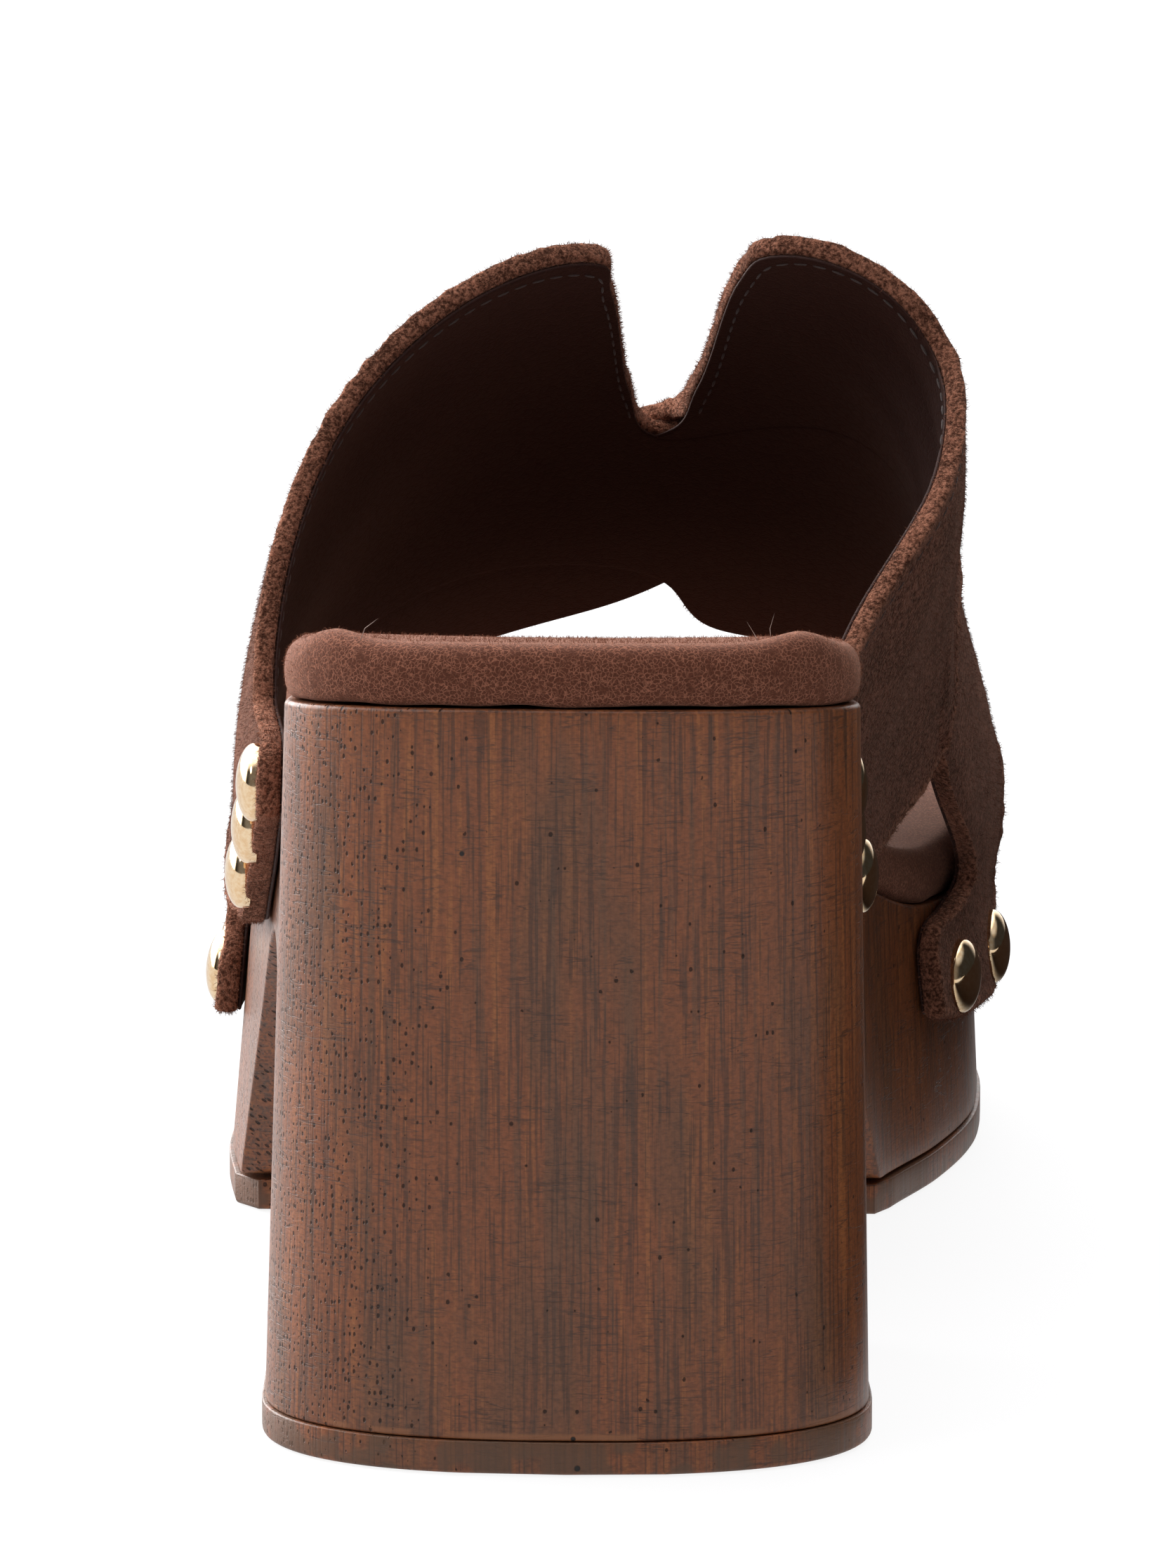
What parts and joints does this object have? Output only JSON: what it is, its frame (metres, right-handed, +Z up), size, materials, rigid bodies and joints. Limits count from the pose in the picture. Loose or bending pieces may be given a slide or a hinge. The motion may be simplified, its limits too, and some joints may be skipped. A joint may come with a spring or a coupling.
{
  "type": "platform clog sandal",
  "caption": "Left platform mule sandal with a block heel and open arch, padded leather insole and a crossed suede upper held to the sole's edge by domed brass studs.",
  "frame": {"origin": "middle of the footprint, on the floor", "axes": "+Z up, +Y from the heel towards the toe, +X towards the inner side of the left foot"},
  "size_m": [0.1018, 0.2506, 0.1253],
  "materials": {
    "wood_look": "satin, fine upright grain",
    "tread_rubber": "matt",
    "insole_leather": "matt, fine grain",
    "suede": "napped",
    "brass": "polished"
  },
  "bodies": {
    "root": {"platform_block": "wood_look", "heel_lift": "tread_rubber", "forefoot_outsole": "tread_rubber", "insole_pad": "insole_leather", "upper": "suede", "stud_rear_lateral_1": "brass", "stud_rear_lateral_2": "brass", "stud_rear_lateral_3": "brass", "stud_rear_medial_1": "brass", "stud_rear_medial_2": "brass", "stud_rear_medial_3": "brass", "stud_front_lateral_1": "brass", "stud_front_lateral_2": "brass", "stud_front_medial_1": "brass", "stud_front_medial_2": "brass"}
  },
  "joints": []
}
